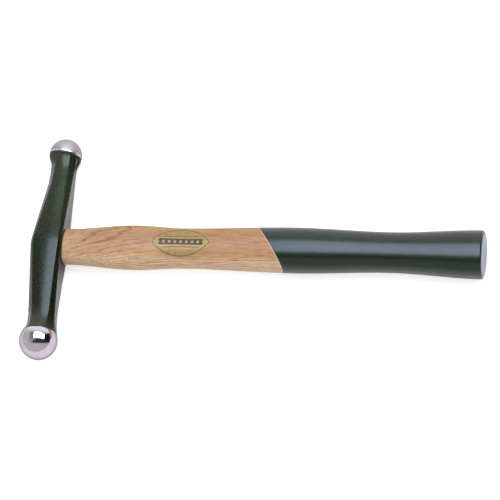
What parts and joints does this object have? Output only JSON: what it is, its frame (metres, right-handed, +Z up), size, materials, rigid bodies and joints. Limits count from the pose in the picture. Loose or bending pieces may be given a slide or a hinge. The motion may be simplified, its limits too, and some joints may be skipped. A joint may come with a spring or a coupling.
{
  "type": "embossing hammer",
  "caption": "Embossing hammer: a slim forged head with a polished ball at each end, wedged on a waisted ash handle with a lacquered grip.",
  "frame": {"origin": "middle of the footprint, on the surface that the hammer lies on", "axes": "x from the head along the handle to the butt, y from the large ball to the small ball, z up, out of the side of the head"},
  "size_m": [0.3142, 0.1646, 0.027],
  "materials": {
    "head_enamel": "satin",
    "polished_steel": "polished",
    "ash_wood": "satin",
    "wedge_wood": "matte",
    "gold_foil": "satin"
  },
  "bodies": {
    "root": {"hammer_head": "head_enamel", "handle": "ash_wood", "wooden_wedge": "wedge_wood", "ring_wedge": "polished_steel", "foil_label": "gold_foil"}
  },
  "joints": []
}
